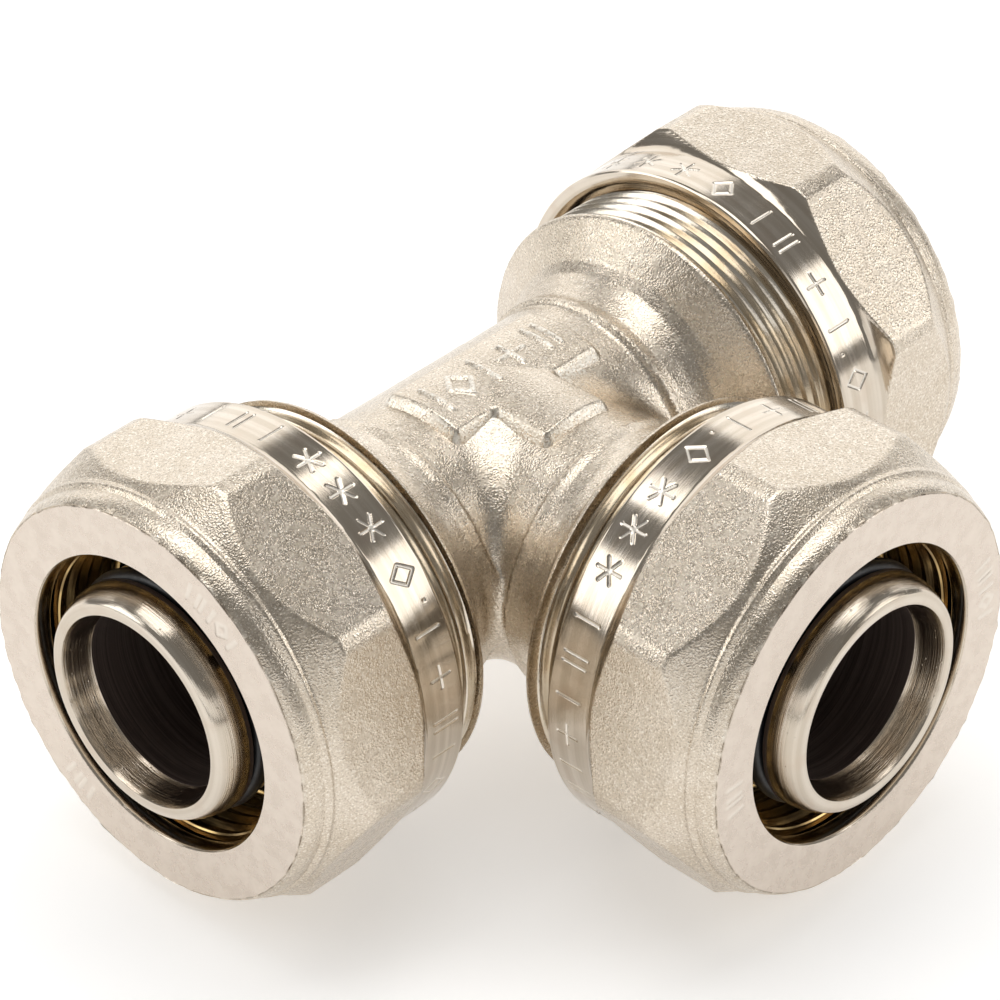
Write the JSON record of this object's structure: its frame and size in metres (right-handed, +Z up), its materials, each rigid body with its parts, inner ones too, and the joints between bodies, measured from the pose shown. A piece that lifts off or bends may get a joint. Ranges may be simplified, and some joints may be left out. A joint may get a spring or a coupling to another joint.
{
  "type": "compression tee fitting",
  "caption": "Equal compression tee for multilayer pipe, with octagonal union nuts, split clamping rings and O-ring sealed spigots.",
  "frame": {"origin": "middle of the underside of the bounding box, below the run", "axes": "+X along the run to the right port, -Y along the branch, +Z up"},
  "size_m": [0.1014, 0.077, 0.0495],
  "materials": {
    "forged_nickel": "nickel-plated, shot-blasted forging with turned ends",
    "nut_nickel": "nickel-plated, shot-blasted flats with a turned band",
    "yellow_brass": "turned, bare",
    "black_rubber": "satin EPDM",
    "ptfe": "matt PTFE"
  },
  "bodies": {
    "tee": {"tee_body": "forged_nickel", "insulating_washer_left": "ptfe", "oring_outer_left": "black_rubber", "oring_inner_left": "black_rubber", "insulating_washer_branch": "ptfe", "oring_outer_branch": "black_rubber", "oring_inner_branch": "black_rubber", "insulating_washer_right": "ptfe", "oring_outer_right": "black_rubber", "oring_inner_right": "black_rubber"},
    "ring_left": {"split_ring_left": "yellow_brass"},
    "nut_left": {"union_nut_left": "nut_nickel"},
    "ring_branch": {"split_ring_branch": "yellow_brass"},
    "nut_branch": {"union_nut_branch": "nut_nickel"},
    "ring_right": {"split_ring_right": "yellow_brass"},
    "nut_right": {"union_nut_right": "nut_nickel"}
  },
  "joints": [
    {"name": "ring_travel_left", "type": "slide", "parent": "tee", "child": "ring_left", "axis": [-1, 0, 0], "range_m": [-0.0041, 0.0044]},
    {"name": "nut_turn_left", "type": "hinge", "parent": "ring_left", "child": "nut_left", "pos_m": [-0.04013, 0.01376, 0.02473], "axis": [-1, 0, 0], "range_deg": [-972, 1044]},
    {"name": "ring_travel_branch", "type": "slide", "parent": "tee", "child": "ring_branch", "axis": [0, -1, 0], "range_m": [-0.0039, 0.0046]},
    {"name": "nut_turn_branch", "type": "hinge", "parent": "ring_branch", "child": "nut_branch", "pos_m": [-0.00013, -0.02624, 0.02473], "axis": [0, -1, 0], "range_deg": [-924, 1092]},
    {"name": "ring_travel_right", "type": "slide", "parent": "tee", "child": "ring_right", "axis": [1, 0, 0], "range_m": [-0.006, 0.0025]},
    {"name": "nut_turn_right", "type": "hinge", "parent": "ring_right", "child": "nut_right", "pos_m": [0.03988, 0.01376, 0.02473], "axis": [1, 0, 0], "range_deg": [-1428, 588]}
  ],
  "couplings": [
    {"joint": "ring_travel_left", "follows": "nut_turn_left", "m_per_rad": 0.00023873},
    {"joint": "ring_travel_branch", "follows": "nut_turn_branch", "m_per_rad": 0.00023873},
    {"joint": "ring_travel_right", "follows": "nut_turn_right", "m_per_rad": 0.00023873}
  ]
}
